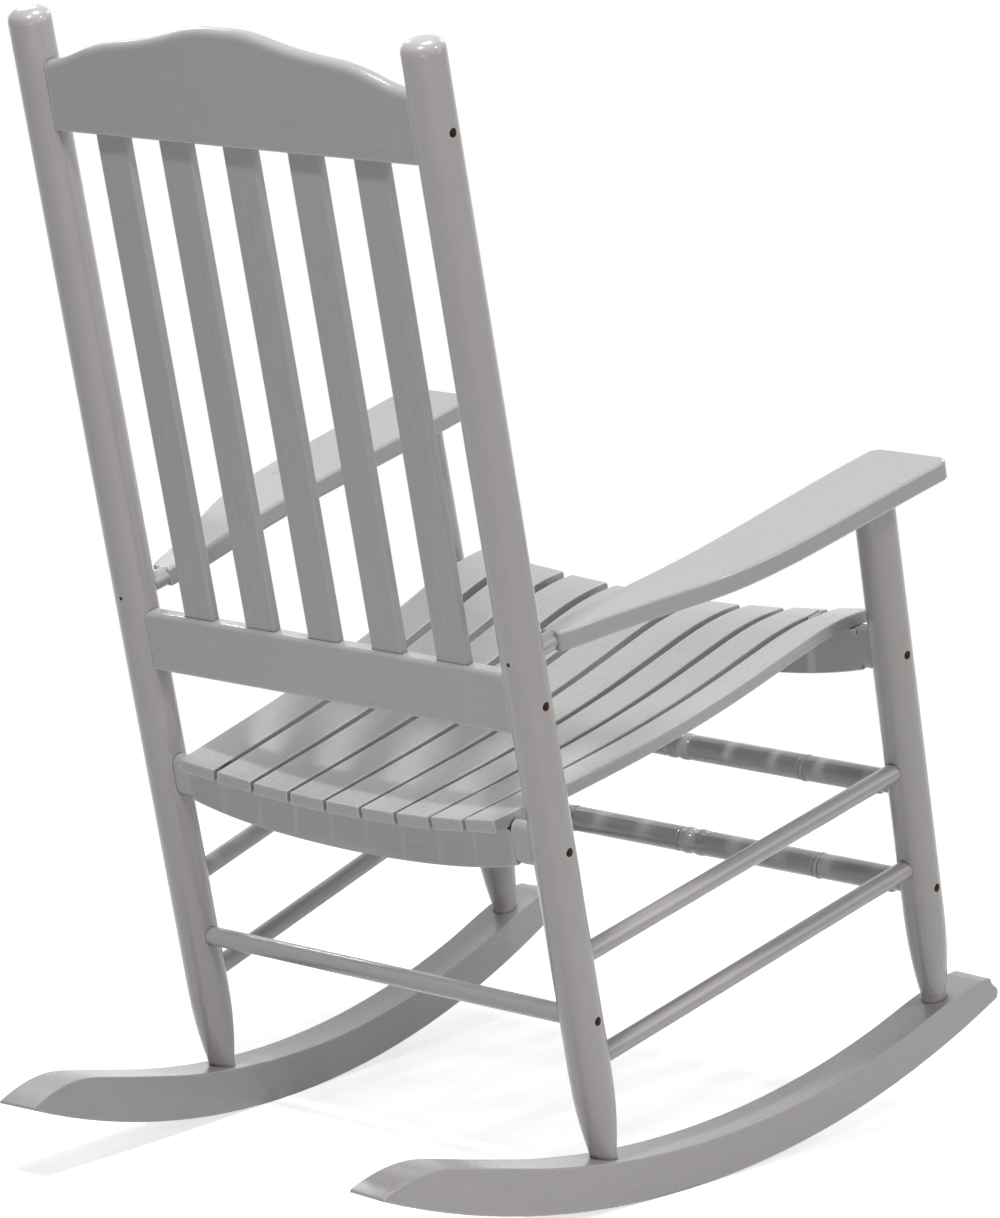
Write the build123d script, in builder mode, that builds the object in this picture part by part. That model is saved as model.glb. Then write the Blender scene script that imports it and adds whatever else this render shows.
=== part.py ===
from build123d import *
from math import atan2, cos, hypot, radians, sin, sqrt
import os

os.makedirs("parts", exist_ok=True)

# Slatted wooden porch rocking chair, painted. Millimetres, +Z up, front toward -Y, X across.
# The frame is laid out square to its posts (x across, u backward, h along the posts) and the
# whole frame then leans back on its rockers by LEAN, the angle at which the empty chair rests.

# ---------------------------------------------------------------- driving dimensions
LEAN = 13.85                 # backward lean of the posts at rest, degrees
FIT = 0.1                    # radial clearance of tenons and pins in their bores
SEAT_FIT = 0.05              # clearance between a piece and the face it sits on

POST_D = 41.3                # turned posts
REAR_POST_X = 245.2          # rear post axis at h = 0
REAR_TOE_IN = 0.00378        # inward slope of the rear posts
POST_ABOVE_CREST = 47.1      # domed top of the rear posts above the crest shoulders
FRONT_POST_X = 284.5         # front post axis at h = 0
FRONT_SPLAY = 0.01197        # outward slope of the front posts
POST_SPAN = 483.6            # rear post axis to front post axis
DOME_H = 12.0                # rounding of the rear post tops
FOOT_D = 26.0                # end of the foot taper, let into the rocker
FOOT_L = 24.0
REAR_TAPER_L = 89.4          # foot taper above the rocker
FRONT_TAPER_L = 93.4

ROCKER_R = 1112.0            # sole arc
SOLE_U = -340.4              # where the sole is square to the posts
SOLE_LOW = -285.2            # height of the sole there
ROCKER_T = 43.0
ROCKER_ROUND = 1.0
FRONT_DEPTH = 39.5           # depth of the board over its sole behind the front post,
MIDDLE_DEPTH = 42.2          # between the posts
KNEE_DEPTH = 49.8            # and at the knee, where the concave top ends and the tail starts
INSTEP_SET = 80.0            # the concave top starts behind the front post axis
KNEE_U = 120.0
TAIL_U = 297.3               # tip of the tail
NOSE_REACH = 70.9            # sole end ahead of the front post axis
NOSE_RISE = 27.6

CREST_BOTTOM = 801.4
CREST_T = 17.6
CREST_END_W = 68.6           # crest width at the posts
CREST_MID_W = 109.9
CREST_ROUND = 7.0
BACK_RAIL_BOTTOM = 253.3
BACK_RAIL_W = 59.1
BACK_RAIL_ROUND = 5.0
RAIL_FACE_U = 10.1           # rear faces of crest and lower back rail
RAIL_TENON_T = 11.0
RAIL_TENON_L = 22.0
RAIL_TENON_IN = 9.0          # tenon stands in from the rail edges

BACK_SLAT_W = 38.3
BACK_SLAT_T = 10.0
BACK_SLAT_SET = 1.8          # slat centre ahead of the rail centre
BACK_SLAT_PITCH = 79.8
BACK_SLAT_TENON = 14.0
BACK_SLAT_ROUND = 2.5

SLAT_COUNT = 9
SLAT_T = 12.7
SLAT_EDGE_ROUND = 1.2
SLAT_NOSE_ROUND = 4.0
SLAT_GAP_REAR = 4.4          # the gaps fan out toward the front
SLAT_GAP_FRONT = 12.8
SEAT_SIDE_REAR = 24.1        # between the outer slats and the posts
SEAT_SIDE_FRONT = 14.7
SLAT_END_U = 17.3            # rear end of the middle slat
SLAT_END_STEP = 0.4          # the rear ends run back with the square of the slat number
SLAT_OVERHANG = 28.7         # front ends ahead of the front post axis
SEAT_H = 149.4               # seat surface at the rear of the middle slat
DISH_R_REAR = 1070.0
DISH_R_FRONT = 1399.0

SEAT_RAIL_T = 17.6
SEAT_RAIL_ROUND = 1.5
SEAT_RAIL_CORNER_R = 9.0     # top corners of the board beside the necks
SEAT_NECK_T = 17.0
REAR_NECK_SET = 39.5         # the board ends and the neck starts, inward from the post axis
REAR_NECK_DROP = 33.4        # lower edge of the neck below the seat surface
REAR_NECK_W = 44.0
REAR_CORNER_UP = 29.0        # corner of the board above the lower edge of the neck
REAR_BELLY = 20.6            # middle of the underside below the neck
FRONT_NECK_SET = 31.2
FRONT_NECK_DROP = 27.3
FRONT_NECK_W = 45.4
FRONT_CORNER_UP = 33.9
FRONT_BELLY = 24.6
FRONT_RAIL_SET = 10.7        # rear face behind the front post axis
SEAT_TENON_L = 24.0

RUNG_D = 19.0
RUNG_TENON_L = 24.0          # all rungs enter the posts to this depth
SIDE_UPPER_H = 19.8
SIDE_LOWER_H = -86.0
REAR_RUNG_H = -38.6
FRONT_UPPER_WEB = 2.4        # wood left between front and side rung sockets
FRONT_LOWER_WEB = 4.9
TURNED_D = 26.4
TURNED_NECK_D = 21.4
TURNED_SHOULDER = 9.0        # bare neck between shoulder and post
TURNED_EASE = 6.0            # rounding of the shoulder
BEAD_W = 16.6                # each of the two middle beads
RING_X = 160.0               # single rings either side of the middle
RING_W = 6.4
BEAD_SLOPE = 1.2             # width of the groove flank beside a bead or ring
BEAD_GROOVE = 1.3            # depth of the turned grooves
BEAD_CREST = 0.8             # beads stand this far above the body

ARM_T = 19.8
ARM_ABOVE_RAIL = 16.4        # arm centre at the rear post, above the lower back rail
ARM_FALL = 0.57              # arm falls toward the front, degrees
ARM_OVERHANG = 52.9          # front end ahead of the front post axis
ARM_OUTBOARD = 59.6          # front corners either side of the front post
ARM_INBOARD = 32.4
ARM_NECK_L = 40.0            # round neck, from the rear post axis
ARM_NECK_D = 19.4
ARM_TENON_L = 22.0
ARM_CORNER_R = 13.0
ARM_EDGE_R = 3.0
ARM_PIN_D = 4.0
ARM_PIN_REACH = 18.0         # pin point ahead of the rear post axis
ARM_PIN_SUNK = 2.5
ARM_POST_TENON_D = 22.0
ARM_POST_TENON_L = 12.0

SCREW_D = 4.0
SCREW_REACH = 25.0           # screw point past the post axis
CREST_SCREW_UP = 30.3        # crest screws above the lower edge of the crest
SEAT_SCREW_UP = 20.0         # seat rail screws above the lower edge of the neck
SCREW_HEAD_D = 7.6
SCREW_HEAD_T = 2.6
COUNTERBORE_D = 8.6
COUNTERBORE_DEPTH = 8.0
NAIL_D = 2.0
NAIL_L = 30.0
NAIL_HEAD_D = 4.4
NAIL_HEAD_T = 1.0
NAIL_SUNK = 0.2

# ---------------------------------------------------------------- places that follow from them
SOLE_H = SOLE_LOW + ROCKER_R                 # sole arc centre
NOSE_U = -POST_SPAN - NOSE_REACH
CREST_SHOULDER = CREST_BOTTOM + CREST_END_W
CREST_CROWN = CREST_BOTTOM + CREST_MID_W
REAR_TOP = CREST_SHOULDER + POST_ABOVE_CREST
BACK_RAIL_TOP = BACK_RAIL_BOTTOM + BACK_RAIL_W
REAR_NECK_LOW = SEAT_H - REAR_NECK_DROP
FRONT_NECK_LOW = SEAT_H - FRONT_NECK_DROP
REAR_NECK_MID = REAR_NECK_LOW + REAR_NECK_W / 2
FRONT_NECK_MID = FRONT_NECK_LOW + FRONT_NECK_W / 2
FRONT_UPPER_H = SIDE_UPPER_H - (RUNG_D + TURNED_NECK_D) / 2 - FRONT_UPPER_WEB
FRONT_LOWER_H = SIDE_LOWER_H - (RUNG_D + TURNED_NECK_D) / 2 - FRONT_LOWER_WEB
SLAT_FRONT_U = -POST_SPAN - SLAT_OVERHANG
ARM_FRONT_U = -POST_SPAN - ARM_OVERHANG
ARM_H = BACK_RAIL_TOP + ARM_ABOVE_RAIL

# ---------------------------------------------------------------- frame of the leaning chair
CHAIR_Y = 166.6              # puts the overall box centre at y = 0
lean = radians(LEAN)
CHAIR_Z = ROCKER_R + SOLE_U * sin(lean) - SOLE_H * cos(lean)
CHAIR = Plane(origin=(0, CHAIR_Y, CHAIR_Z), x_dir=(1, 0, 0), z_dir=(0, sin(lean), cos(lean)))


def at(x, u, h):
    """World point of a chair-frame position."""
    return CHAIR.origin + CHAIR.x_dir * x + CHAIR.y_dir * u + CHAIR.z_dir * h


def toward(x, u, h):
    """World direction of a chair-frame direction."""
    return CHAIR.x_dir * x + CHAIR.y_dir * u + CHAIR.z_dir * h


def level(h):
    """Plane square to the posts, local x across and local y backward."""
    return CHAIR.offset(h)


def upright(u):
    """Plane across the chair facing backward, local x reversed, local y along the posts."""
    return Plane(origin=at(0, u, 0), x_dir=-CHAIR.x_dir, z_dir=CHAIR.y_dir)


def rear_x(h):
    return REAR_POST_X - REAR_TOE_IN * h


def front_x(h):
    return FRONT_POST_X + FRONT_SPLAY * h


def rod(start, end, diameter, mode=Mode.ADD):
    """Round rod, or with Mode.SUBTRACT a bore, between two world points."""
    with Locations(Plane(origin=start, z_dir=end - start)):
        Cylinder(
            diameter / 2,
            (end - start).length,
            align=(Align.CENTER, Align.CENTER, Align.MIN),
            mode=mode,
        )


def bore(start, end, diameter):
    rod(start, end, diameter, Mode.SUBTRACT)


def save(builder, label):
    builder.part.label = label
    export_step(builder.part, "parts/" + label + ".step")


SIDES = (("left", 1), ("right", -1))
POST_R = POST_D / 2
RAIL_U = RAIL_FACE_U - CREST_T / 2
FRONT_RAIL_U = FRONT_RAIL_SET - POST_SPAN - SEAT_RAIL_T / 2


def rocker_sole(u):
    return SOLE_H - sqrt(ROCKER_R ** 2 - (u - SOLE_U) ** 2)


INSTEP_U = INSTEP_SET - POST_SPAN
TOP_POINTS = [
    (u, rocker_sole(u) + depth)
    for u, depth in ((INSTEP_U, FRONT_DEPTH), (-POST_SPAN / 3, MIDDLE_DEPTH), (KNEE_U, KNEE_DEPTH))
]
TOP_ARC = ThreePointArc(*TOP_POINTS)


def rocker_top(u):
    centre = TOP_ARC.arc_center
    return centre.Y - sqrt(TOP_ARC.radius ** 2 - (u - centre.X) ** 2)


def arc_slope(u, h, centre_u, centre_h):
    """Slope of an arc at one of its points."""
    return (u - centre_u) / (centre_h - h)


def post_profile(side, x0, u, slope):
    """Plane through a post axis, local x radial and local y along the axis."""
    return Plane(
        origin=at(side * x0, u, 0),
        x_dir=toward(1, 0, -side * slope),
        z_dir=toward(0, -1, 0),
    )


def post_axis(side, x0, u, slope):
    return Axis(at(side * x0, u, 0), toward(side * slope, 0, 1))


def cheek(side, x, u, h):
    """Plane facing outward through a point, local x backward, local y along the posts."""
    return Plane(origin=at(side * x, u, h), x_dir=CHAIR.y_dir, z_dir=toward(side, 0, 0))


REAR_FOOT_H = rocker_top(0)
FRONT_FOOT_H = rocker_top(-POST_SPAN)
FOOT_R = FOOT_D / 2
FOOT_EASE = 5.0              # straight end of the foot above the rocker, covers the sloping mouth

ARM = Plane(
    origin=at(0, 0, ARM_H),
    x_dir=(1, 0, 0),
    z_dir=(0, sin(radians(LEAN - ARM_FALL)), cos(radians(LEAN - ARM_FALL))),
)
ARM_UNDER = ARM.offset(-ARM_T / 2)
ARM_NECK_X = rear_x(ARM_H)


def arm_at(x, u, rise=0.0):
    return ARM.origin + ARM.x_dir * x + ARM.y_dir * u + ARM.z_dir * rise


def rung_line(side, h):
    """Axis points of a side rung on the rear and front posts."""
    return at(side * rear_x(h), 0, h), at(side * front_x(h), -POST_SPAN, h)


# screw positions in the outer faces of the posts: height and rail centre line
REAR_SCREWS = (
    (CREST_BOTTOM + CREST_SCREW_UP, RAIL_U),
    ((BACK_RAIL_BOTTOM + BACK_RAIL_TOP) / 2, RAIL_U),
    (REAR_NECK_LOW + SEAT_SCREW_UP, RAIL_U),
    (REAR_RUNG_H, 0.0),
)
FRONT_SCREWS = (
    (FRONT_NECK_LOW + SEAT_SCREW_UP, FRONT_RAIL_U),
    (FRONT_LOWER_H, -POST_SPAN),
)
SCREW_SEAT = POST_R - COUNTERBORE_DEPTH      # head seat, outward from the post axis


def screw_bore(side, x, u, h):
    """Counterbore and clearance hole from the outer face of a post through to its far mortise."""
    bore(at(side * (x + POST_R + 2), u, h), at(side * (x + SCREW_SEAT), u, h), COUNTERBORE_D)
    pilot(side, x, u, h)


def pilot(side, x, u, h):
    bore(
        at(side * (x + SCREW_SEAT + 1), u, h),
        at(side * (x - SCREW_REACH - 0.5), u, h),
        SCREW_D + 2 * FIT,
    )


# ---------------------------------------------------------------- rear posts
TENON_REACH = POST_R - RAIL_TENON_L          # tenon ends, inward from the post axis
SEAT_REACH = POST_R - SEAT_TENON_L
RUNG_REACH = POST_R - RUNG_TENON_L
END_GAP = 0.5                                # glue space at the end of every blind bore

for name, side in SIDES:
    axis = post_axis(side, REAR_POST_X, 0, -REAR_TOE_IN)
    taper_h = REAR_FOOT_H + REAR_TAPER_L
    with BuildPart() as rear_post:
        with BuildSketch(post_profile(side, REAR_POST_X, 0, -REAR_TOE_IN)):
            with BuildLine():
                Polyline(
                    (0, REAR_FOOT_H - FOOT_L),
                    (FOOT_R, REAR_FOOT_H - FOOT_L),
                    (FOOT_R, REAR_FOOT_H + FOOT_EASE),
                )
                TangentArc((POST_R, taper_h), (FOOT_R, REAR_FOOT_H + FOOT_EASE), tangent=(0, -1))
                Line((POST_R, taper_h), (POST_R, REAR_TOP - DOME_H))
                Spline(
                    (POST_R, REAR_TOP - DOME_H),
                    (POST_R * 0.78, REAR_TOP - DOME_H * 0.26),
                    (0, REAR_TOP),
                    tangents=((0, 1), (-1, 0)),
                )
                Line((0, REAR_TOP), (0, REAR_FOOT_H - FOOT_L))
            make_face()
        revolve(axis=axis)
        # mortises of the crest rail and the lower back rail
        for low, high in (
            (CREST_BOTTOM + RAIL_TENON_IN, CREST_SHOULDER - RAIL_TENON_IN),
            (BACK_RAIL_BOTTOM + RAIL_TENON_IN, BACK_RAIL_TOP - RAIL_TENON_IN),
        ):
            h = (low + high) / 2
            with BuildSketch(cheek(side, rear_x(h) - POST_R - 2, RAIL_U, h)):
                Rectangle(RAIL_TENON_T + 2 * FIT, high - low + 2 * FIT)
            extrude(amount=2 + RAIL_TENON_L + END_GAP, mode=Mode.SUBTRACT)
        # round-ended mortise of the seat rail
        with BuildSketch(cheek(side, rear_x(REAR_NECK_MID) - POST_R - 2, RAIL_U, REAR_NECK_MID)):
            SlotOverall(REAR_NECK_W + 2 * FIT, SEAT_NECK_T + 2 * FIT, rotation=90)
        extrude(amount=2 + SEAT_TENON_L + END_GAP, mode=Mode.SUBTRACT)
        # rung sockets
        for h in (SIDE_UPPER_H, SIDE_LOWER_H):
            here, there = rung_line(side, h)
            way = (there - here).normalized()
            bore(here + way * (RUNG_REACH - END_GAP), here + way * (POST_R + 4), RUNG_D + 2 * FIT)
        bore(
            at(side * (rear_x(REAR_RUNG_H) - RUNG_REACH + END_GAP), 0, REAR_RUNG_H),
            at(side * (rear_x(REAR_RUNG_H) - POST_R - 4), 0, REAR_RUNG_H),
            RUNG_D + 2 * FIT,
        )
        # arm socket and the pin hole behind it
        bore(
            arm_at(side * ARM_NECK_X, -POST_R + ARM_TENON_L + END_GAP),
            arm_at(side * ARM_NECK_X, -POST_R - 4),
            ARM_NECK_D + 2 * FIT,
        )
        bore(
            arm_at(side * ARM_NECK_X, POST_R + 2),
            arm_at(side * ARM_NECK_X, 0),
            ARM_PIN_D + 2 * FIT,
        )
        for h, u in REAR_SCREWS:
            screw_bore(side, rear_x(h), u, h)
    save(rear_post, "rear_post_" + name)

# ---------------------------------------------------------------- front posts
for name, side in SIDES:
    axis = post_axis(side, FRONT_POST_X, -POST_SPAN, FRONT_SPLAY)
    taper_h = FRONT_FOOT_H + FRONT_TAPER_L
    with BuildPart() as front_post:
        with BuildSketch(post_profile(side, FRONT_POST_X, -POST_SPAN, FRONT_SPLAY)):
            with BuildLine():
                Polyline(
                    (0, FRONT_FOOT_H - FOOT_L),
                    (FOOT_R, FRONT_FOOT_H - FOOT_L),
                    (FOOT_R, FRONT_FOOT_H + FOOT_EASE),
                )
                TangentArc((POST_R, taper_h), (FOOT_R, FRONT_FOOT_H + FOOT_EASE), tangent=(0, -1))
                Polyline(
                    (POST_R, taper_h),
                    (POST_R, ARM_H),
                    (0, ARM_H),
                    (0, FRONT_FOOT_H - FOOT_L),
                )
            make_face()
        revolve(axis=axis)
        split(bisect_by=ARM_UNDER.offset(-SEAT_FIT), keep=Keep.BOTTOM)
        top = front_post.faces().sort_by(Axis(ARM.origin, ARM.z_dir))[-1].center()
        rod(top - axis.direction * 2, top + axis.direction * ARM_POST_TENON_L, ARM_POST_TENON_D)
        with BuildSketch(
            cheek(side, front_x(FRONT_NECK_MID) - POST_R - 2, FRONT_RAIL_U, FRONT_NECK_MID)
        ):
            SlotOverall(FRONT_NECK_W + 2 * FIT, SEAT_NECK_T + 2 * FIT, rotation=90)
        extrude(amount=2 + SEAT_TENON_L + END_GAP, mode=Mode.SUBTRACT)
        for h in (SIDE_UPPER_H, SIDE_LOWER_H):
            there, here = rung_line(side, h)
            way = (there - here).normalized()
            bore(here + way * (RUNG_REACH - END_GAP), here + way * (POST_R + 4), RUNG_D + 2 * FIT)
        for h in (FRONT_UPPER_H, FRONT_LOWER_H):
            bore(
                at(side * (front_x(h) - RUNG_REACH + END_GAP), -POST_SPAN, h),
                at(side * (front_x(h) - POST_R - 4), -POST_SPAN, h),
                TURNED_NECK_D + 2 * FIT,
            )
        for h, u in FRONT_SCREWS:
            screw_bore(side, front_x(h), u, h)
    save(front_post, "front_post_" + name)
    if side == 1:
        tenon_left = top
    else:
        tenon_right = top

# ---------------------------------------------------------------- rockers
def reach(plane, point, centre):
    """Distance from a centre, measured in a plane."""
    offset = point - centre
    return hypot(offset.dot(plane.x_dir), offset.dot(plane.y_dir))


rear_foot = at(rear_x(REAR_FOOT_H), 0, REAR_FOOT_H)
front_foot = at(front_x(FRONT_FOOT_H), -POST_SPAN, FRONT_FOOT_H)
splay = atan2(front_foot.X - rear_foot.X, rear_foot.Y - front_foot.Y)
ROCKER_X = rear_foot.X + (rear_foot.Y - CHAIR_Y) * sin(splay) / cos(splay)

# tail from the knee to the tip: share of its length, share of the knee depth above the sole
TAIL_CURVE = ((0.367, 0.990), (0.541, 0.933), (0.677, 0.782), (0.891, 0.347), (0.994, 0.063))
TAIL_US = [KNEE_U + a * (TAIL_U - KNEE_U) for a, b in TAIL_CURVE]
tail = [(u, rocker_sole(u) + b * KNEE_DEPTH) for u, (a, b) in zip(TAIL_US, TAIL_CURVE)]
nose_h = rocker_sole(NOSE_U)
nose_top = (NOSE_U + 0.8 * NOSE_RISE, nose_h + NOSE_RISE)
instep_slope = arc_slope(*TOP_POINTS[0], TOP_ARC.arc_center.X, TOP_ARC.arc_center.Y)
knee_slope = arc_slope(*TOP_POINTS[2], TOP_ARC.arc_center.X, TOP_ARC.arc_center.Y)
tip_slope = arc_slope(TAIL_U, rocker_sole(TAIL_U), SOLE_U, SOLE_H) - 0.825

for name, side in SIDES:
    back = Vector(-side * sin(splay), cos(splay), 0)
    board = Plane(
        origin=(side * ROCKER_X, CHAIR_Y, CHAIR_Z),
        x_dir=back * cos(lean) - Vector(0, 0, sin(lean)),
        z_dir=(cos(splay), side * sin(splay), 0),
    )
    with BuildPart() as rocker:
        with BuildSketch(board):
            with BuildLine():
                # sole, one arc from tail to nose
                ThreePointArc(
                    (TAIL_U, rocker_sole(TAIL_U)),
                    (SOLE_U, rocker_sole(SOLE_U)),
                    (NOSE_U, rocker_sole(NOSE_U)),
                )
                # blunt nose
                Spline(
                    (NOSE_U, nose_h),
                    (NOSE_U - 0.09 * NOSE_RISE, nose_h + 0.28 * NOSE_RISE),
                    (NOSE_U + 0.14 * NOSE_RISE, nose_h + 0.61 * NOSE_RISE),
                    nose_top,
                    tangents=((-0.5, 1), (1, 0.1)),
                )
                # top: concave from the nose to past the rear post, then a knee and the long tail
                Spline(
                    nose_top,
                    (-POST_SPAN, rocker_top(-POST_SPAN) - 0.8),
                    TOP_POINTS[0],
                    tangents=((1, 0.0), (1, instep_slope)),
                )
                ThreePointArc(*TOP_POINTS)
                Spline(TOP_POINTS[2], *tail, tangents=((1, knee_slope), (1, tip_slope)))
                Line(tail[-1], (TAIL_U, rocker_sole(TAIL_U)))
            make_face()
        extrude(amount=ROCKER_T / 2, both=True)
        sole_centre = board.from_local_coords((SOLE_U, SOLE_H, 0))
        top_edges = rocker.edges().filter_by(
            lambda e: e.length > 1.4 * ROCKER_T and reach(board, e @ 0.5, sole_centre) < ROCKER_R - 4
        )
        fillet(top_edges, ROCKER_ROUND)
        for foot, x0, u, slope in (
            (REAR_FOOT_H, REAR_POST_X, 0, -REAR_TOE_IN),
            (FRONT_FOOT_H, FRONT_POST_X, -POST_SPAN, FRONT_SPLAY),
        ):
            bore(
                at(side * (x0 + slope * (foot - FOOT_L - END_GAP)), u, foot - FOOT_L - END_GAP),
                at(side * (x0 + slope * (foot + 20)), u, foot + 20),
                FOOT_D + 2 * FIT,
            )
    save(rocker, "rocker_" + name)

# ---------------------------------------------------------------- crest rail and lower back rail
def cope(x0, u, slope):
    """Scribe both ends of a rail round the two posts of a pair."""
    for s in (1, -1):
        low = at(s * x0, u, 0)
        high = at(s * (x0 + slope * REAR_TOP), u, REAR_TOP)
        bore(low, high, POST_D + 2 * FIT)


# top curve of the crest from its crown: share of the half width, share of the drop to the shoulder
CREST_CURVE = (
    (0.133, 0.030),
    (0.266, 0.191),
    (0.395, 0.354),
    (0.519, 0.455),
    (0.630, 0.540),
    (0.755, 0.727),
    (0.875, 0.965),
    (1.0, 1.02),
)
RAIL_HALF = REAR_POST_X - 12.0               # board half width before the ends are scribed
crest_half = [(a * RAIL_HALF, CREST_CROWN - b * (CREST_CROWN - CREST_SHOULDER)) for a, b in CREST_CURVE]
crest_top = [(-x, h) for x, h in reversed(crest_half)] + [(0, CREST_CROWN)] + crest_half
SLAT_XS = [i * BACK_SLAT_PITCH for i in (-2, -1, 0, 1, 2)]
BACK_SLAT_U = RAIL_U - BACK_SLAT_SET

with BuildPart() as crest_rail:
    with BuildSketch(upright(RAIL_FACE_U)):
        with BuildLine():
            Spline(*crest_top)
            Polyline(
                crest_top[-1],
                (RAIL_HALF, CREST_BOTTOM),
                (-RAIL_HALF, CREST_BOTTOM),
                crest_top[0],
            )
        make_face()
    extrude(amount=-CREST_T)
    fillet(crest_rail.edges().filter_by(GeomType.BSPLINE), CREST_ROUND)
    cope(REAR_POST_X, 0, -REAR_TOE_IN)
    for s in (1, -1):
        low = CREST_BOTTOM + RAIL_TENON_IN
        high = CREST_SHOULDER - RAIL_TENON_IN
        h = (low + high) / 2
        with BuildSketch(cheek(s, rear_x(h) - POST_R - 6, RAIL_U, h)):
            Rectangle(RAIL_TENON_T, high - low)
        extrude(amount=6 + RAIL_TENON_L)
        pilot(s, rear_x(REAR_SCREWS[0][0]), RAIL_U, REAR_SCREWS[0][0])
    with BuildSketch(level(CREST_BOTTOM)):
        for x in SLAT_XS:
            with Locations((x, BACK_SLAT_U)):
                Rectangle(BACK_SLAT_W + 2 * FIT, BACK_SLAT_T + 2 * FIT)
    extrude(amount=BACK_SLAT_TENON + END_GAP, mode=Mode.SUBTRACT)
save(crest_rail, "crest_rail")

with BuildPart() as back_rail:
    with BuildSketch(upright(RAIL_FACE_U)):
        with Locations((0, (BACK_RAIL_BOTTOM + BACK_RAIL_TOP) / 2)):
            Rectangle(2 * RAIL_HALF, BACK_RAIL_TOP - BACK_RAIL_BOTTOM)
    extrude(amount=-CREST_T)
    long_edges = back_rail.edges().filter_by(Axis.X).sort_by(Axis(CHAIR.origin, CHAIR.z_dir))
    fillet(long_edges[-2:], BACK_RAIL_ROUND)
    cope(REAR_POST_X, 0, -REAR_TOE_IN)
    for s in (1, -1):
        low = BACK_RAIL_BOTTOM + RAIL_TENON_IN
        high = BACK_RAIL_TOP - RAIL_TENON_IN
        h = (low + high) / 2
        with BuildSketch(cheek(s, rear_x(h) - POST_R - 6, RAIL_U, h)):
            Rectangle(RAIL_TENON_T, high - low)
        extrude(amount=6 + RAIL_TENON_L)
        pilot(s, rear_x(REAR_SCREWS[1][0]), RAIL_U, REAR_SCREWS[1][0])
    with BuildSketch(level(BACK_RAIL_TOP)):
        for x in SLAT_XS:
            with Locations((x, BACK_SLAT_U)):
                Rectangle(BACK_SLAT_W + 2 * FIT, BACK_SLAT_T + 2 * FIT)
    extrude(amount=-BACK_SLAT_TENON - END_GAP, mode=Mode.SUBTRACT)
save(back_rail, "lower_back_rail")

# ---------------------------------------------------------------- back slats
for i, x in enumerate(SLAT_XS):
    with BuildPart() as back_slat:
        with BuildSketch(level(BACK_RAIL_TOP - BACK_SLAT_TENON)):
            with Locations((x, BACK_SLAT_U)):
                Rectangle(BACK_SLAT_W, BACK_SLAT_T)
        extrude(amount=CREST_BOTTOM - BACK_RAIL_TOP + 2 * BACK_SLAT_TENON)
        fillet(back_slat.edges().filter_by(Axis(CHAIR.origin, CHAIR.z_dir)), BACK_SLAT_ROUND)
    save(back_slat, "back_slat_%d" % (i + 1))

# ---------------------------------------------------------------- seat slats
# running profile of the seat surface: distance behind the rear end of the middle slat, and rise
REAR_NAIL = (RAIL_U - SLAT_END_U, -0.7)
FRONT_NAIL = (FRONT_RAIL_U - SLAT_END_U, 6.6)
SLAT_RUN_L = SLAT_END_U - SLAT_FRONT_U
SEAT_RUN = (
    (8.0, 0.2),
    REAR_NAIL,
    (-0.230 * SLAT_RUN_L, -4.3),
    (-0.391 * SLAT_RUN_L, -5.7),
    (-0.599 * SLAT_RUN_L, -2.3),
    (-0.765 * SLAT_RUN_L, 4.8),
    (-0.869 * SLAT_RUN_L, 8.3),
    FRONT_NAIL,
    (-SLAT_RUN_L - 6.0, 1.0),
)
SLAT_NUMBERS = [n - SLAT_COUNT // 2 for n in range(SLAT_COUNT)]
SEAT_HALF_REAR = rear_x(SEAT_H) - POST_R - SEAT_SIDE_REAR
SEAT_HALF_FRONT = front_x(SEAT_H) - POST_R - SEAT_SIDE_FRONT
SLAT_PITCH_REAR = (SEAT_HALF_REAR + SLAT_GAP_REAR / 2) * 2 / SLAT_COUNT
SLAT_PITCH_FRONT = (SEAT_HALF_FRONT + SLAT_GAP_FRONT / 2) * 2 / SLAT_COUNT
SLAT_W_REAR = SLAT_PITCH_REAR - SLAT_GAP_REAR
SLAT_W_FRONT = SLAT_PITCH_FRONT - SLAT_GAP_FRONT


def slat_frame(n):
    """Rear end, backward direction, up direction and across direction of one fanned, tilted slat."""
    x_rear = n * SLAT_PITCH_REAR
    x_front = n * SLAT_PITCH_FRONT
    rise_rear = x_rear ** 2 / (2 * DISH_R_REAR)
    rise_front = x_front ** 2 / (2 * DISH_R_FRONT)
    back = Vector(x_rear - x_front, SLAT_RUN_L, rise_rear - rise_front).normalized()
    slope = (x_rear / DISH_R_REAR + x_front / DISH_R_FRONT) / 2
    up = Vector(-slope, 0, 1)
    up = (up - back * up.dot(back)).normalized()
    side = back.cross(up)
    return Vector(x_rear, SLAT_END_U, SEAT_H + rise_rear), back, up, side


def slat_planes(n):
    """Side-profile plane and top plane of a slat, both through its rear end."""
    end, back, up, side = slat_frame(n)
    origin = at(end.X, end.Y, end.Z)
    profile = Plane(origin=origin, x_dir=toward(*back), z_dir=toward(*side))
    top = Plane(origin=origin, x_dir=toward(*side), z_dir=toward(*up))
    return profile, top


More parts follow.
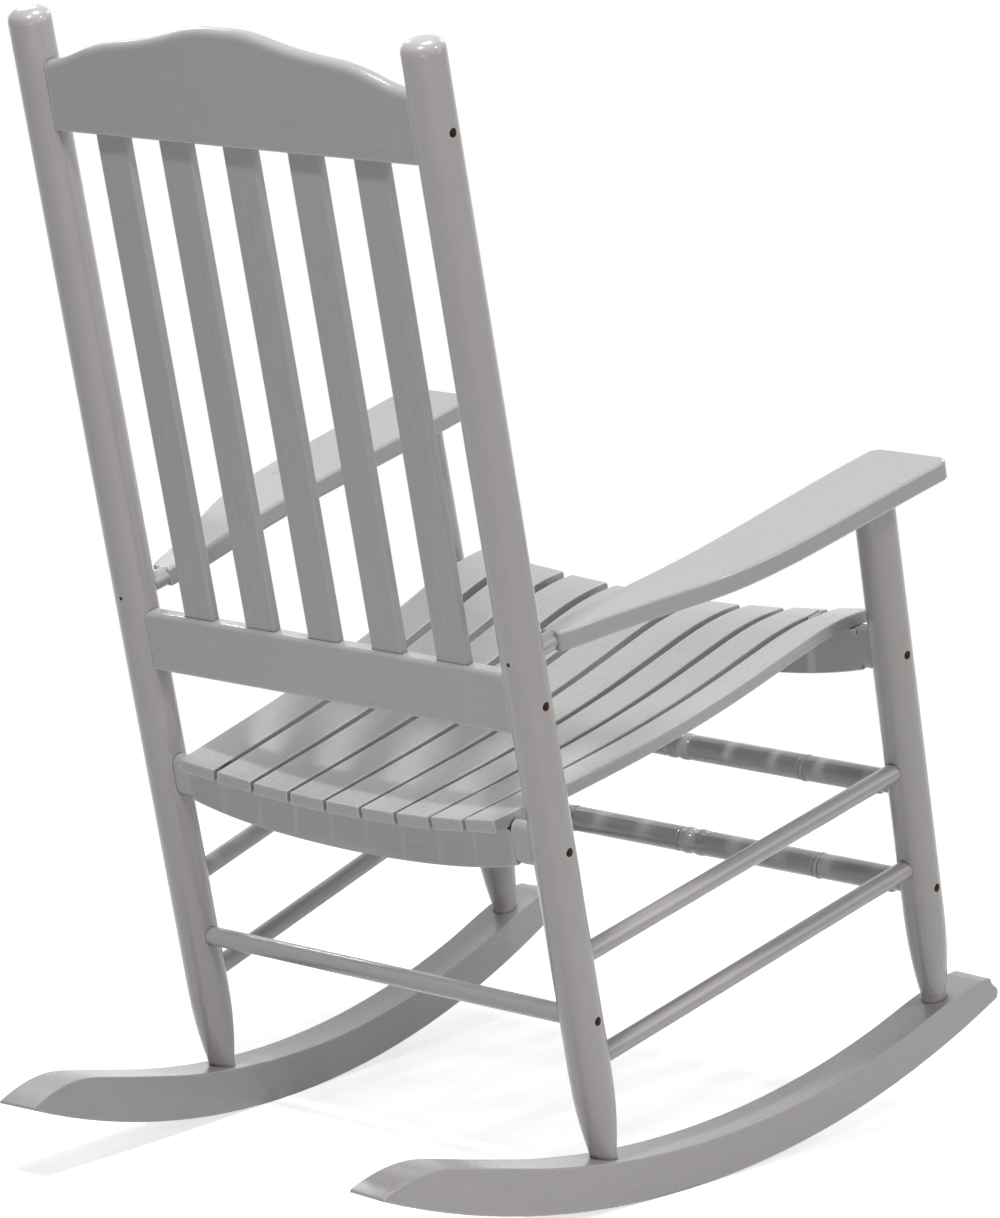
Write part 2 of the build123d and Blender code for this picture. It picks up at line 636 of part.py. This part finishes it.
def bed(n):
    """Everything above the seat of slat n on the rails, to be cut from the rail tops."""
    profile, top = slat_planes(n)
    reach_out = 24.0
    left = reach_out if n == SLAT_NUMBERS[-1] else 0.0
    right = reach_out if n == SLAT_NUMBERS[0] else 0.0
    with BuildPart(mode=Mode.PRIVATE) as cutter:
        with BuildSketch(profile):
            with BuildLine():
                Spline(*[(s, p - SLAT_T - SEAT_FIT) for s, p in SEAT_RUN])
                Polyline(
                    (SEAT_RUN[-1][0], SEAT_RUN[-1][1] - SLAT_T - SEAT_FIT),
                    (SEAT_RUN[-1][0], 5 * SLAT_T),
                    (SEAT_RUN[0][0], 5 * SLAT_T),
                    (SEAT_RUN[0][0], SEAT_RUN[0][1] - SLAT_T - SEAT_FIT),
                )
            make_face()
        extrude(amount=80, both=True)
        with BuildSketch(top):
            with BuildLine():
                Polyline(
                    (SLAT_PITCH_REAR / 2 + left, 20),
                    (SLAT_PITCH_FRONT / 2 + left, -SLAT_RUN_L),
                    (SLAT_PITCH_FRONT / 2 + left, -SLAT_RUN_L - 20),
                    (-SLAT_PITCH_FRONT / 2 - right, -SLAT_RUN_L - 20),
                    (-SLAT_PITCH_FRONT / 2 - right, -SLAT_RUN_L),
                    (-SLAT_PITCH_REAR / 2 - right, 20),
                    close=True,
                )
            make_face()
        extrude(amount=90, both=True, mode=Mode.INTERSECT)
    return cutter.part


def nail_point(n, station):
    """Slat surface over a rail, and the upward direction square to the slat."""
    end, back, up, side = slat_frame(n)
    spot = end + back * station[0] + up * station[1]
    return at(spot.X, spot.Y, spot.Z), toward(*up)


for n in SLAT_NUMBERS:
    profile, top = slat_planes(n)
    tail = SLAT_END_STEP * n ** 2
    with BuildPart() as seat_slat:
        with BuildSketch(profile):
            with BuildLine():
                Spline(*SEAT_RUN)
                Line(SEAT_RUN[-1], (SEAT_RUN[-1][0], SEAT_RUN[-1][1] - SLAT_T))
                Spline(*[(s, p - SLAT_T) for s, p in SEAT_RUN])
                Line((SEAT_RUN[0][0], SEAT_RUN[0][1] - SLAT_T), SEAT_RUN[0])
            make_face()
        extrude(amount=40, both=True)
        widen = (SLAT_W_FRONT - SLAT_W_REAR) / SLAT_RUN_L
        with BuildSketch(top):
            with BuildLine():
                Polyline(
                    ((SLAT_W_REAR - widen * tail) / 2, tail),
                    (SLAT_W_FRONT / 2, -SLAT_RUN_L),
                    (-SLAT_W_FRONT / 2, -SLAT_RUN_L),
                    (-(SLAT_W_REAR - widen * tail) / 2, tail),
                    close=True,
                )
            make_face()
        extrude(amount=40, both=True, mode=Mode.INTERSECT)
        ends = seat_slat.edges().filter_by(
            lambda e: abs((e @ 1 - e @ 0).normalized().dot(top.x_dir)) > 0.999
        )
        nose = ends.sort_by(Axis(top.origin, top.y_dir))[:2].sort_by(Axis(top.origin, top.z_dir))[-1]
        fillet(nose, SLAT_NOSE_ROUND)
        fillet(seat_slat.edges().filter_by(lambda e: e.length > SLAT_RUN_L / 2), SLAT_EDGE_ROUND)
        for station in (REAR_NAIL, FRONT_NAIL):
            spot, up = nail_point(n, station)
            bore(spot + up, spot - up * (NAIL_SUNK + NAIL_HEAD_T), NAIL_HEAD_D + 2 * FIT)
            bore(spot, spot - up * (SLAT_T + 2), NAIL_D + 2 * FIT)
    save(seat_slat, "seat_slat_%d" % (n + SLAT_COUNT // 2 + 1))

# ---------------------------------------------------------------- seat rails
beds = [bed(n) for n in SLAT_NUMBERS]
# underside from the middle of the rail: share of the half width, share of the rise to the neck
BELLY_CURVE = ((0.436, 0.145), (0.775, 0.515), (1.0, 1.0))
round_r = SEAT_RAIL_CORNER_R
board_top = SEAT_H + 40.0                    # cut down to the slat beds

for label, x_of, rail_u, neck_set, low, neck_w, corner_up, belly, station in (
    ("rear_seat_rail", rear_x, RAIL_U, REAR_NECK_SET,
     REAR_NECK_LOW, REAR_NECK_W, REAR_CORNER_UP, REAR_BELLY, REAR_NAIL),
    ("front_seat_rail", front_x, FRONT_RAIL_U, FRONT_NECK_SET,
     FRONT_NECK_LOW, FRONT_NECK_W, FRONT_CORNER_UP, FRONT_BELLY, FRONT_NAIL),
):
    h = low + neck_w / 2
    end_x = x_of(h) - neck_set
    corner = low + corner_up
    spread = [(a * end_x, low - (1 - b) * belly) for a, b in BELLY_CURVE]
    under = [(-x, y) for x, y in reversed(spread)] + [(0, low - belly)] + spread
    screw_h = low + SEAT_SCREW_UP
    with BuildPart() as seat_rail:
        with BuildSketch(upright(rail_u + SEAT_RAIL_T / 2)):
            with BuildLine():
                Spline(*under)
                for s in (1, -1):
                    Line((s * end_x, low), (s * end_x, corner))
                    TangentArc(
                        (s * end_x, corner),
                        (s * (end_x - round_r), corner + round_r),
                        tangent=(0, 1),
                    )
                    Line((s * (end_x - round_r), corner + round_r), (s * (end_x - round_r), board_top))
                Line((end_x - round_r, board_top), (round_r - end_x, board_top))
            make_face()
        extrude(amount=-SEAT_RAIL_T)
        fillet(seat_rail.edges().filter_by(GeomType.BSPLINE), SEAT_RAIL_ROUND)
        for cutter in beds:
            add(cutter, mode=Mode.SUBTRACT)
        for s in (1, -1):
            with BuildSketch(cheek(s, end_x - 0.5, rail_u, h)):
                SlotOverall(neck_w, SEAT_NECK_T, rotation=90)
            extrude(amount=x_of(h) - SEAT_REACH - end_x + 0.5)
            pilot(s, x_of(screw_h), rail_u, screw_h)
        for n in SLAT_NUMBERS:
            spot, up = nail_point(n, station)
            bore(spot, spot - up * (NAIL_L + NAIL_SUNK + END_GAP), NAIL_D + 2 * FIT)
    save(seat_rail, label)

# ---------------------------------------------------------------- arms
# both edges of an arm from the front: share of the way out from the neck, share of the length
OUTER_CURVE = (
    (1.0, 1.0),
    (0.966, 0.882),
    (0.923, 0.654),
    (0.865, 0.503),
    (0.750, 0.391),
    (0.543, 0.289),
    (0.346, 0.194),
    (0.212, 0.116),
)
INNER_CURVE = (
    (-0.246, 0.261),
    (0.503, 0.429),
    (0.711, 0.671),
    (1.0, 1.0),
)
ARM_OUT_X = front_x(ARM_H) + ARM_OUTBOARD
ARM_IN_X = front_x(ARM_H) - ARM_INBOARD
ARM_NECK_R = ARM_NECK_D / 2
ARM_OUTER = [
    (ARM_NECK_X + a * (ARM_OUT_X - ARM_NECK_X), b * ARM_FRONT_U) for a, b in OUTER_CURVE
]
ARM_INNER = [
    (ARM_NECK_X - ARM_NECK_R, -ARM_NECK_L),
    (ARM_NECK_X - ARM_NECK_R + 0.3, -2 * ARM_NECK_L),
] + [(ARM_NECK_X + a * (ARM_IN_X - ARM_NECK_X), b * ARM_FRONT_U) for a, b in INNER_CURVE]

for name, side in SIDES:
    with BuildPart() as arm:
        with BuildSketch(ARM_UNDER):
            with BuildLine():
                Spline(*[(side * x, u) for x, u in ARM_OUTER])
                Spline(
                    (side * ARM_OUTER[-1][0], ARM_OUTER[-1][1]),
                    (side * (ARM_NECK_X + 1.75 * ARM_NECK_R), -ARM_NECK_L - 9.0),
                    (side * (ARM_NECK_X + ARM_NECK_R), -ARM_NECK_L),
                    tangents=((side * -1, 3), (side * -8, 3)),
                )
                Line(
                    (side * (ARM_NECK_X + ARM_NECK_R), -ARM_NECK_L),
                    (side * ARM_INNER[0][0], ARM_INNER[0][1]),
                )
                Spline(*[(side * x, u) for x, u in ARM_INNER])
                Line((side * ARM_INNER[-1][0], ARM_FRONT_U), (side * ARM_OUTER[0][0], ARM_FRONT_U))
            make_face()
        extrude(amount=ARM_T)
        upward = Axis(ARM.origin, ARM.z_dir)
        backward = Axis(ARM.origin, ARM.y_dir)
        fillet(arm.edges().filter_by(upward).sort_by(backward)[:2], ARM_CORNER_R)
        faces = arm.faces().filter_by(upward)
        fillet(faces.edges(), ARM_EDGE_R)
        rod(
            arm_at(side * ARM_NECK_X, -1.45 * ARM_NECK_L),
            arm_at(side * ARM_NECK_X, ARM_TENON_L - POST_R),
            ARM_NECK_D,
        )
        post_top = tenon_left if side == 1 else tenon_right
        rise = toward(side * FRONT_SPLAY, 0, 1).normalized()
        bore(
            post_top - rise * 3,
            post_top + rise * (ARM_POST_TENON_L + END_GAP),
            ARM_POST_TENON_D + 2 * FIT,
        )
        bore(
            arm_at(side * ARM_NECK_X, ARM_TENON_L - POST_R + 1),
            arm_at(side * ARM_NECK_X, -ARM_PIN_REACH - END_GAP),
            ARM_PIN_D + 2 * FIT,
        )
    save(arm, "arm_" + name)

# ---------------------------------------------------------------- rungs
for name, side in SIDES:
    for level_name, h in (("upper", SIDE_UPPER_H), ("lower", SIDE_LOWER_H)):
        rear, front = rung_line(side, h)
        way = (front - rear).normalized()
        with BuildPart() as rung:
            rod(rear + way * RUNG_REACH, front - way * RUNG_REACH, RUNG_D)
        save(rung, "side_rung_" + level_name + "_" + name)

rung_end = rear_x(REAR_RUNG_H) - RUNG_REACH
with BuildPart() as rear_rung:
    rod(at(-rung_end, 0, REAR_RUNG_H), at(rung_end, 0, REAR_RUNG_H), RUNG_D)
    for s in (1, -1):
        pilot(s, rear_x(REAR_RUNG_H), 0, REAR_RUNG_H)
save(rear_rung, "rear_rung")

for level_name, h in (("upper", FRONT_UPPER_H), ("lower", FRONT_LOWER_H)):
    body = h + TURNED_D / 2
    groove = body - BEAD_GROOVE
    crest = body + BEAD_CREST
    neck = h + TURNED_NECK_D / 2
    ring_in = RING_X - RING_W / 2
    ring_out = RING_X + RING_W / 2
    shoulder = front_x(h) - POST_R - TURNED_SHOULDER
    end = front_x(h) - RUNG_REACH
    with BuildPart() as turned:
        with BuildSketch(upright(-POST_SPAN)):
            with BuildLine():
                Line((-end, h), (end, h))
                for s in (1, -1):
                    # middle bead pair, parted by a groove on the centre line
                    ThreePointArc((0, groove), (s * BEAD_W / 2, crest), (s * BEAD_W, groove))
                    Polyline(
                        (s * BEAD_W, groove),
                        (s * (BEAD_W + BEAD_SLOPE), body),
                        (s * (ring_in - BEAD_SLOPE), body),
                        (s * ring_in, groove),
                    )
                    # single ring at the quarter
                    ThreePointArc((s * ring_in, groove), (s * RING_X, crest), (s * ring_out, groove))
                    Polyline(
                        (s * ring_out, groove),
                        (s * (ring_out + BEAD_SLOPE), body),
                        (s * (shoulder - TURNED_EASE), body),
                    )
                    ThreePointArc(
                        (s * (shoulder - TURNED_EASE), body),
                        (s * (shoulder - 0.3 * TURNED_EASE), (3 * body + neck) / 4),
                        (s * shoulder, neck),
                    )
                    Polyline((s * shoulder, neck), (s * end, neck), (s * end, h))
            make_face()
        revolve(axis=Axis(at(0, -POST_SPAN, h), CHAIR.x_dir))
        if h == FRONT_LOWER_H:
            for s in (1, -1):
                pilot(s, front_x(h), -POST_SPAN, h)
    save(turned, "front_rung_" + level_name)

# ---------------------------------------------------------------- fasteners
def screw(side, x, u, h):
    """Pan-head screw on the counterbore seat, driven inward, with a crossed drive recess."""
    seat = at(side * (x + SCREW_SEAT), u, h)
    out = toward(side, 0, 0)
    rod(seat, seat + out * SCREW_HEAD_T, SCREW_HEAD_D)
    rod(seat, seat - out * (SCREW_SEAT + SCREW_REACH), SCREW_D)
    for size in ((4.4, 1.1), (1.1, 4.4)):
        with Locations(cheek(side, x + SCREW_SEAT + SCREW_HEAD_T - 0.7, u, h)):
            Box(size[0], size[1], 1.6, mode=Mode.SUBTRACT)


with BuildPart() as rear_screws:
    for h, u in REAR_SCREWS:
        for s in (1, -1):
            screw(s, rear_x(h), u, h)
save(rear_screws, "rear_post_screws")

with BuildPart() as front_screws:
    for h, u in FRONT_SCREWS:
        for s in (1, -1):
            screw(s, front_x(h), u, h)
save(front_screws, "front_post_screws")

with BuildPart() as arm_pins:
    for s in (1, -1):
        rod(
            arm_at(s * ARM_NECK_X, POST_R - ARM_PIN_SUNK),
            arm_at(s * ARM_NECK_X, -ARM_PIN_REACH),
            ARM_PIN_D,
        )
save(arm_pins, "arm_pins")

with BuildPart() as nails:
    for n in SLAT_NUMBERS:
        for station in (REAR_NAIL, FRONT_NAIL):
            spot, up = nail_point(n, station)
            head = spot - up * NAIL_SUNK
            rod(head, head - up * NAIL_HEAD_T, NAIL_HEAD_D)
            rod(head, head - up * NAIL_L, NAIL_D)
save(nails, "seat_slat_nails")
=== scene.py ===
import bpy
from math import cos, radians, sin
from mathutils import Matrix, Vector

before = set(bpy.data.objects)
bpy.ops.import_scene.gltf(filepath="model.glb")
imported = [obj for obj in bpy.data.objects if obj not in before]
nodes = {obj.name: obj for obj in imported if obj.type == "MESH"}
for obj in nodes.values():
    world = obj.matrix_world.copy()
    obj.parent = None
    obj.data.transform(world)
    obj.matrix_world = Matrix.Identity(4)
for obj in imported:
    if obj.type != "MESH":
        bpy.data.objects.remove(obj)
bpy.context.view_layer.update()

# ---------------------------------------------------------------- directions of the pieces
LEAN = radians(13.85)                                # the whole chair leans back
UP_POST = Vector((0, sin(LEAN), cos(LEAN)))          # along the posts
BACKWARD = Vector((0, cos(LEAN), -sin(LEAN)))        # square to the posts
ACROSS = Vector((1, 0, 0))
REAR_POST_TILT = -0.00378                            # sideways run of a post per unit of height
FRONT_POST_TILT = 0.01197
ROCKER_SPLAY = radians(4.75)
ARM_SPLAY = 0.12                                     # sideways run per unit of length
SIDE_RUNG_SPLAY = 0.082
SEAT_FAN = 0.0211                                    # turn of each seat slat from its neighbour
BACK_SLATS = 5
SEAT_SLATS = 9
MIDDLE_SLAT = (SEAT_SLATS + 1) / 2

# ---------------------------------------------------------------- tones
GREY = (0.366, 0.359, 0.362)           # arms, rails, seat slats and the rungs across the chair
SHADED_BACK_GREY = (0.340, 0.334, 0.337)      # painted shade: the crest and the back slats are a little darker
WARM_GREY = (0.382, 0.365, 0.359)      # posts, rockers and side rungs are a little warmer
RAW_WOOD = (0.19, 0.105, 0.075)        # bare wood in the screw holes
STEEL_DARK = (0.10, 0.085, 0.075)
STEEL_LIGHT = (0.24, 0.22, 0.20)

BORE_R = 0.0043                        # screw counterbores in the posts
SHADE_REACH = 0.005                     # painted shade: how far from a joint, gap or recess the paint is darker
EDGE_REACH = 0.0025                    # how far from a corner the paint is paler, partly wear and partly a painted highlight
PROBES = 8                             # rays that look for corners and for joints


# ---------------------------------------------------------------- node trees
class Nodes:
    """Short calls that build one node tree from nothing."""

    def __init__(self, tree):
        self.tree = tree
        tree.nodes.clear()

    def add(self, kind, inputs=None, **settings):
        node = self.tree.nodes.new("ShaderNode" + kind)
        for name, value in settings.items():
            setattr(node, name, value)
        for name, value in (inputs or {}).items():
            self.feed(value, node.inputs[name])
        return node

    def feed(self, value, target):
        """Link an output to a socket, or write a plain value on it."""
        if isinstance(value, bpy.types.NodeSocket):
            self.tree.links.new(value, target)
        else:
            target.default_value = value

    def math(self, operation, a, b):
        node = self.add("Math", operation=operation)
        self.feed(a, node.inputs[0])
        self.feed(b, node.inputs[1])
        return node.outputs[0]

    def vector(self, operation, a, b=None):
        node = self.add("VectorMath", operation=operation)
        self.feed(a, node.inputs[0])
        if b is not None:
            self.feed(b, node.inputs[1])
        return node

    def ramp(self, value, low, high, start=0.0, end=1.0, **settings):
        inputs = {"Value": value, "From Min": low, "From Max": high, "To Min": start, "To Max": end}
        return self.add("MapRange", inputs, **settings).outputs["Result"]

    def noise(self, vector, scale, detail=2.0, rough=0.5, distortion=0.0):
        inputs = {"Vector": vector, "Scale": scale, "Detail": detail}
        inputs.update({"Roughness": rough, "Distortion": distortion})
        return self.add("TexNoise", inputs).outputs["Fac"]

    def blend(self, factor, a, b, **settings):
        node = self.add("Mix", data_type="RGBA", **settings)
        for name, value in (("Factor", factor), ("A", a), ("B", b)):
            self.feed((*value, 1.0) if isinstance(value, tuple) else value, node.inputs[name])
        return node.outputs["Result"]

    def output(self, kind, shader):
        self.add("Output" + kind, {"Surface": shader})


def new_material(name):
    mat = bpy.data.materials.new(name)
    mat.use_nodes = True
    return mat, Nodes(mat.node_tree)


# ---------------------------------------------------------------- materials
def painted(name, along, tone=GREY, seed=0.0, edge=0.0012, wear_and_highlight_amount=0.16, bores=()):
    """Satin grey paint brushed along a piece, with the grain showing through faintly.

    edge is the radius of the softened corners; the wear and highlight argument says how much paler
    they are, partly wear and partly a painted highlight. bores are points on the axes of screw holes
    that run along X;
    their walls are raw wood.
    """
    mat, net = new_material(name)

    # coordinates turned so that z runs along the piece
    where = net.add("TexCoord").outputs["Object"]
    turned = net.add("Mapping", {
        "Vector": where,
        "Rotation": Vector((0, 0, 1)).rotation_difference(along).inverted().to_euler(),
        "Location": (seed, seed * 0.37, seed * 1.7),
    }, vector_type="POINT").outputs[0]

    def stretched(z):
        """The turned coordinates drawn out along the piece."""
        return net.add("Mapping", {"Vector": turned, "Scale": (1.0, 1.0, z)}).outputs[0]

    # grain under the paint, brush marks and orange peel in it, blotches and specks
    fibres = net.noise(stretched(0.03), 420.0, 4.0, 0.6, 0.25)
    figure = net.noise(stretched(0.07), 55.0, 3.0, 0.55, 0.6)
    brush = net.noise(stretched(0.012), 900.0, 3.0)
    peel = net.noise(turned, 650.0)
    mottle = net.noise(turned, 9.0, 3.0, 0.55)
    specks = net.noise(turned, 210.0, 4.0, 0.7)

    # paler corners, partly wear and partly a painted highlight, and painted shade in joints, gaps and
    # recesses
    bevel = net.add("Bevel", {"Radius": edge}, samples=6).outputs[0]
    corner = net.add("AmbientOcclusion", {"Distance": EDGE_REACH}, inside=True, samples=PROBES)
    on_edge = net.ramp(corner.outputs["AO"], 0.95, 0.66)
    # paleness of the corners: partly wear, partly a painted highlight
    edge_wear_and_highlight = net.math("MULTIPLY", on_edge, net.ramp(specks, 0.42, 0.62, 0.6, 1.0))
    shade_probe = net.add("AmbientOcclusion", {"Distance": SHADE_REACH}, samples=PROBES)
    # painted shade: darker where the paint sits close to other surfaces
    painted_shade = net.ramp(shade_probe.outputs["AO"], 0.25, 0.85, 0.24, 1.0)

    # colour: random tone and grain, the painted highlight on the corners and the painted shade in the
    # joints
    shade = net.ramp(mottle, 0.3, 0.7, -0.012, 0.012)
    shade = net.math("ADD", shade, net.ramp(figure, 0.3, 0.7, -0.012, 0.012))
    shade = net.math("ADD", shade, net.ramp(fibres, 0.35, 0.7, 0.004, -0.007))
    shade = net.math("ADD", shade, net.ramp(specks, 0.60, 0.78, 0.0, -0.010))
    # painted highlight and wear make the corners paler
    shade = net.math("ADD", shade, net.math("MULTIPLY", edge_wear_and_highlight, wear_and_highlight_amount))
    # the painted shade in joints, gaps and recesses darkens the colour
    factor = net.math("MULTIPLY", net.math("ADD", shade, 1.0), painted_shade)
    grey = net.add("CombineColor", {"Red": factor, "Green": factor, "Blue": factor}).outputs[0]
    paint = net.blend(1.0, tone, grey, blend_type="MULTIPLY")
    for hole in bores:
        away = net.vector("SUBTRACT", where, hole).outputs[0]
        sideways = net.vector("MULTIPLY", away, (0, 1, 1)).outputs[0]
        from_axis = net.vector("LENGTH", sideways).outputs["Value"]
        paint = net.blend(net.ramp(from_axis, BORE_R + 0.0003, BORE_R + 0.0001), paint, RAW_WOOD)

    # sheen of the paint
    gloss = net.ramp(mottle, 0.3, 0.7, 0.26, 0.33)
    gloss = net.math("ADD", gloss, net.ramp(brush, 0.3, 0.7, -0.03, 0.03))
    gloss = net.math("ADD", gloss, net.math("MULTIPLY", edge_wear_and_highlight, 0.05))

    # relief
    relief = net.math("ADD", net.math("MULTIPLY", fibres, 0.18), net.math("MULTIPLY", brush, 0.30))
    relief = net.math("ADD", relief, net.math("MULTIPLY", peel, 0.30))
    bump = net.add("Bump", {
        "Strength": 0.08,
        "Distance": 0.0006,
        "Height": relief,
        "Normal": bevel,
    }).outputs[0]

    net.output("Material", net.add("BsdfPrincipled", {
        "Base Color": paint,
        "Roughness": gloss,
        "Specular IOR Level": 0.34,
        "IOR": 1.47,
        "Coat Weight": 0.60,
        "Coat Roughness": 0.14,
        "Normal": bump,
        "Coat Normal": bump,
    }).outputs[0])
    return mat


def steel(name):
    """Dull zinc-plated screw steel."""
    mat, net = new_material(name)
    blotches = net.noise(net.add("TexCoord").outputs["Object"], 900.0, 3.0)
    net.output("Material", net.add("BsdfPrincipled", {
        "Base Color": net.blend(blotches, STEEL_DARK, STEEL_LIGHT),
        "Roughness": net.ramp(blotches, 0.0, 1.0, 0.35, 0.6),
        "Metallic": 0.85,
    }).outputs[0])
    return mat


def dress(name, mat):
    for slot in nodes[name].material_slots:
        slot.material = mat


def screw_axes(name):
    """A point on the axis of each screw in a node of screws; left and right share their axes."""
    found = []
    for vertex in nodes[name].data.vertices:
        for group in found:
            if (group[0].yz - vertex.co.yz).length < 2 * BORE_R:
                group.append(vertex.co)
                break
        else:
            found.append([vertex.co])
    middle = []
    for group in found:
        ys = [point.y for point in group]
        zs = [point.z for point in group]
        middle.append((0, (min(ys) + max(ys)) / 2, (min(zs) + max(zs)) / 2))
    return middle


REAR_BORES = screw_axes("rear_post_screws")
FRONT_BORES = screw_axes("front_post_screws")
seed = 1.0                             # each piece takes its grain from another place
for side, sign in (("left", 1), ("right", -1)):
    rear_axis = (UP_POST + ACROSS * sign * REAR_POST_TILT).normalized()
    front_axis = (UP_POST + ACROSS * sign * FRONT_POST_TILT).normalized()
    along_rocker = Vector((-sign * sin(ROCKER_SPLAY), cos(ROCKER_SPLAY), 0))
    along_arm = (BACKWARD - ACROSS * sign * ARM_SPLAY).normalized()
    along_rung = (BACKWARD - ACROSS * sign * SIDE_RUNG_SPLAY).normalized()
    piece = "rear_post_" + side
    dress(piece, painted(piece, rear_axis, WARM_GREY, seed, bores=REAR_BORES))
    piece = "front_post_" + side
    dress(piece, painted(piece, front_axis, WARM_GREY, seed + 2.3, bores=FRONT_BORES))
    piece = "rocker_" + side
    dress(piece, painted(piece, along_rocker, WARM_GREY, seed + 4.1))
    piece = "arm_" + side
    # the arms' corners are the palest, mostly a painted highlight along the rounded edges
    dress(piece, painted(piece, along_arm, GREY, seed + 6.7, edge=0.0015, wear_and_highlight_amount=0.85))
    for k, level in enumerate(("upper", "lower")):
        piece = "side_rung_%s_%s" % (level, side)
        dress(piece, painted(piece, along_rung, WARM_GREY, seed + 8.9 + k * 3.1, edge=0.0004))
    seed += 17.3
RAILS = (
    "crest_rail",
    "lower_back_rail",
    "rear_seat_rail",
    "front_seat_rail",
    "rear_rung",
    "front_rung_upper",
    "front_rung_lower",
)
for k, piece in enumerate(RAILS):
    # the crest takes the darker grey, a painted shade
    tone = SHADED_BACK_GREY if piece == "crest_rail" else GREY
    dress(piece, painted(piece, ACROSS, tone, seed + 3.7 * k, wear_and_highlight_amount=0.50))
# the back slats take the darker grey, a painted shade
for k in range(1, BACK_SLATS + 1):
    piece = "back_slat_%d" % k
    dress(piece, painted(piece, UP_POST, SHADED_BACK_GREY, 70.0 + 2.9 * k, edge=0.0006, wear_and_highlight_amount=0.30))
for k in range(1, SEAT_SLATS + 1):
    piece = "seat_slat_%d" % k
    along = (BACKWARD - ACROSS * (k - MIDDLE_SLAT) * SEAT_FAN).normalized()
    dress(piece, painted(piece, along, GREY, 90.0 + 3.3 * k, wear_and_highlight_amount=0.50))
for piece in ("rear_post_screws", "front_post_screws", "arm_pins"):
    dress(piece, steel(piece))
dress("seat_slat_nails", painted("seat_slat_nails", ACROSS, GREY, 140.0, edge=0.0003))

# ---------------------------------------------------------------- floor and background
WHITE = (1, 1, 1, 1)
AMBIENT = 0.08                         # what the surroundings add to the lamps
FLOOR_SIZE = 40.0
FLOOR_GREY = (0.68, 0.68, 0.68, 1)
FLOOR_LIFT = 0.70                      # makes the lit floor white and leaves the shadow
SHADOW_NEAR = 0.7                      # the shadow fades out between these distances
SHADOW_FAR = 2.4


def seen_or_mirrored(net):
    """1 for rays from the camera and for those mirrored or let through by a surface."""
    path = net.add("LightPath").outputs
    mirrored = net.math("MAXIMUM", path["Is Glossy Ray"], path["Is Transmission Ray"])
    return net.math("MAXIMUM", path["Is Camera Ray"], mirrored)


def mix_shader(net, factor, a, b):
    node = net.add("MixShader")
    for target, value in zip(node.inputs, (factor, a, b)):
        net.feed(value, target)
    return node.outputs[0]


world = bpy.data.worlds.new("studio")
bpy.context.scene.world = world
world.use_nodes = True
sky = Nodes(world.node_tree)
dim = sky.add("Background", {"Color": WHITE, "Strength": AMBIENT}).outputs[0]
white = sky.add("Background", {"Color": WHITE, "Strength": 1.0}).outputs[0]
sky.output("World", mix_shader(sky, seen_or_mirrored(sky), dim, white))

bpy.ops.mesh.primitive_circle_add(vertices=96, radius=FLOOR_SIZE, fill_type="NGON", location=(0, 0, 0))
floor = bpy.context.object
floor.name = "floor"
floor_mat, net = new_material("floor")
away = net.vector("LENGTH", net.add("TexCoord").outputs["Object"]).outputs["Value"]
far = net.ramp(away, SHADOW_NEAR, SHADOW_FAR, interpolation_type="SMOOTHSTEP")
pale = net.add("BsdfDiffuse", {"Color": FLOOR_GREY}).outputs[0]
near = net.add("AddShader")
net.feed(pale, near.inputs[0])
net.feed(net.add("Emission", {"Strength": FLOOR_LIFT}).outputs[0], near.inputs[1])
bright = net.add("Emission", {"Strength": 1.0}).outputs[0]
backdrop = mix_shader(net, far, near.outputs[0], bright)
net.output("Material", mix_shader(net, seen_or_mirrored(net), pale, backdrop))
floor.data.materials.append(floor_mat)

# ---------------------------------------------------------------- lamps
VIEW_RIGHT = Vector((-0.766, -0.643, 0))
VIEW_BACK = Vector((-0.643, 0.766, 0))               # from the chair toward the camera
AIM = Vector((0, 0, 0.5))


def softbox(name, right, back, height, size, power, mirrored=True):
    """Rectangular lamp aimed at the seat.

    right and back say how far it stands from the origin to the viewer's right and toward the
    camera. One that isn't mirrored lights the chair and leaves no glare on it.
    """
    light = bpy.data.lights.new(name, "AREA")
    light.shape = "RECTANGLE"
    light.size, light.size_y = size
    light.energy = power
    lamp = bpy.data.objects.new(name, light)
    bpy.context.collection.objects.link(lamp)
    lamp.location = VIEW_RIGHT * right + VIEW_BACK * back + Vector((0, 0, height))
    lamp.rotation_euler = (AIM - lamp.location).to_track_quat("-Z", "Y").to_euler()
    lamp.visible_glossy = mirrored


softbox("key", -0.74, 1.49, 3.23, (0.20, 0.20), 52)
softbox("front_left", -0.96, -2.37, 2.42, (0.35, 0.35), 6)
softbox("front_right", 1.20, -2.25, 2.39, (0.45, 0.45), 9)
softbox("right_high", 1.98, 1.15, 2.7, (0.25, 0.25), 15)
softbox("overhead", 0.0, 0.0, 3.2, (0.8, 0.8), 28)
softbox("camera_side", 0.0, 3.2, 2.2, (1.2, 1.2), 3)
softbox("camera_right", 1.9, 2.2, 1.6, (1.2, 1.2), 5)
softbox("camera_low", 0.0, 3.0, 0.45, (1.6, 0.7), 11)
softbox("right_side", 2.5, 0.5, 1.6, (1.0, 1.4), 10)
softbox("front_fill", -0.8, -3.0, 1.2, (1.4, 1.4), 12, mirrored=False)

# ---------------------------------------------------------------- camera
camera = bpy.data.cameras.new("camera")
camera.lens = 195.68
camera.sensor_width = 36.0
camera.sensor_fit = "HORIZONTAL"
camera.clip_end = 100.0
viewer = bpy.data.objects.new("camera", camera)
bpy.context.collection.objects.link(viewer)
viewer.location = (-3.35071, 3.97461, 1.51418)
viewer.rotation_euler = (radians(79.23361), radians(-0.34825), radians(-139.89422))
scene = bpy.context.scene
scene.camera = viewer
scene.view_settings.view_transform = "Standard"
